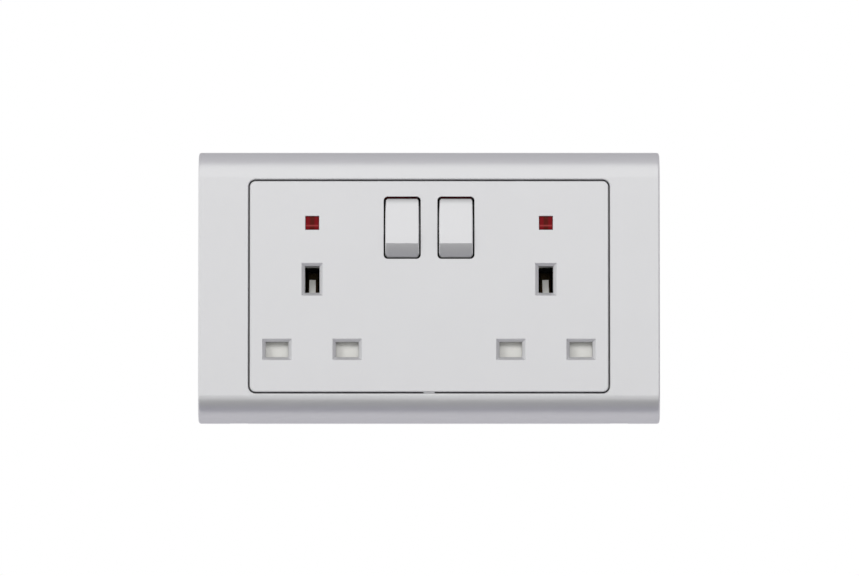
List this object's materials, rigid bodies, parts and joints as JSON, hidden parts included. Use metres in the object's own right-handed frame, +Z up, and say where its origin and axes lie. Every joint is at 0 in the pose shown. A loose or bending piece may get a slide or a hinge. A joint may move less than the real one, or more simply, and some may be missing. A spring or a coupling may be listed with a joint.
{
  "type": "twin switched wall socket",
  "caption": "Wall plate with two British three-pin outlets, a rocker switch and neon window for each, and a clip-on frame.",
  "frame": {"origin": "middle of the plate, on the surface of the wall", "axes": "+X to the right, +Y into the wall, +Z up"},
  "size_m": [0.146, 0.0314, 0.086],
  "materials": {
    "panel_paint": "satin silver paint",
    "housing_plastic": "satin moulded",
    "shutter_plastic": "satin moulded",
    "rocker_paint": "satin silver paint",
    "neon_red": "clear red moulding",
    "contact_brass": "rolled sheet",
    "terminal_brass": "machined",
    "contact_silver": "bright",
    "spring_steel": "drawn wire",
    "screw_steel": "plated",
    "lamp_glass": "clear glass",
    "resistor_body": "lacquered",
    "plunger_plastic": "moulded"
  },
  "bodies": {
    "socket": {"cover_frame": "panel_paint", "earth_bar": "contact_brass", "earth_terminal": "terminal_brass", "fixed_contact_left": "contact_silver", "fixed_contact_right": "contact_silver", "front_plate": "panel_paint", "housing_screws": "screw_steel", "live_bar": "contact_brass", "live_link_left": "contact_brass", "live_link_right": "contact_brass", "live_terminal": "terminal_brass", "neon_lamp_left": "lamp_glass", "neon_lamp_right": "lamp_glass", "neon_lens_left": "neon_red", "neon_lens_right": "neon_red", "neon_resistor_left": "resistor_body", "neon_resistor_right": "resistor_body", "neutral_bar": "contact_brass", "neutral_terminal": "terminal_brass", "rear_housing": "housing_plastic", "shutter_guide_left": "shutter_plastic", "shutter_guide_right": "shutter_plastic", "shutter_spring_left": "spring_steel", "shutter_spring_right": "spring_steel", "terminal_screws": "screw_steel"},
    "rocker_left": {"rocker_left": "rocker_paint", "plunger_spring_left": "spring_steel"},
    "plunger_left": {"plunger_left": "plunger_plastic"},
    "lever_left": {"contact_lever_left": "contact_brass", "moving_contact_left": "contact_silver"},
    "shutter_left": {"shutter_left": "shutter_plastic"},
    "rocker_right": {"rocker_right": "rocker_paint", "plunger_spring_right": "spring_steel"},
    "plunger_right": {"plunger_right": "plunger_plastic"},
    "lever_right": {"contact_lever_right": "contact_brass", "moving_contact_right": "contact_silver"},
    "shutter_right": {"shutter_right": "shutter_plastic"}
  },
  "joints": [
    {"name": "rocker_left_tilt", "type": "hinge", "parent": "socket", "child": "rocker_left", "pos_m": [-0.0085, -0.0045, 0.01843], "axis": [1, 0, 0], "range_deg": [0, 11]},
    {"name": "plunger_left_slide", "type": "slide", "parent": "rocker_left", "child": "plunger_left", "axis": [0, -0.9954, 0.0958], "range_m": [0, 0.0008], "stiffness_N_per_m": 600, "deforming": ["plunger_spring_left"]},
    {"name": "lever_left_tilt", "type": "hinge", "parent": "socket", "child": "lever_left", "pos_m": [-0.0085, 0.006, 0.01843], "axis": [1, 0, 0], "range_deg": [-22, 0]},
    {"name": "shutter_left_slide", "type": "slide", "parent": "socket", "child": "shutter_left", "axis": [0, 0, -1], "range_m": [0, 0.005], "stiffness_N_per_m": 150, "deforming": ["shutter_spring_left"]},
    {"name": "rocker_right_tilt", "type": "hinge", "parent": "socket", "child": "rocker_right", "pos_m": [0.0085, -0.0045, 0.01843], "axis": [1, 0, 0], "range_deg": [0, 11]},
    {"name": "plunger_right_slide", "type": "slide", "parent": "rocker_right", "child": "plunger_right", "axis": [0, -0.9954, 0.0958], "range_m": [0, 0.0008], "stiffness_N_per_m": 600, "deforming": ["plunger_spring_right"]},
    {"name": "lever_right_tilt", "type": "hinge", "parent": "socket", "child": "lever_right", "pos_m": [0.0085, 0.006, 0.01843], "axis": [1, 0, 0], "range_deg": [-22, 0]},
    {"name": "shutter_right_slide", "type": "slide", "parent": "socket", "child": "shutter_right", "axis": [0, 0, -1], "range_m": [0, 0.005], "stiffness_N_per_m": 150, "deforming": ["shutter_spring_right"]}
  ],
  "couplings": [
    {"joint": "lever_left_tilt", "follows": "rocker_left_tilt", "ratio": -2},
    {"joint": "lever_right_tilt", "follows": "rocker_right_tilt", "ratio": -2}
  ]
}
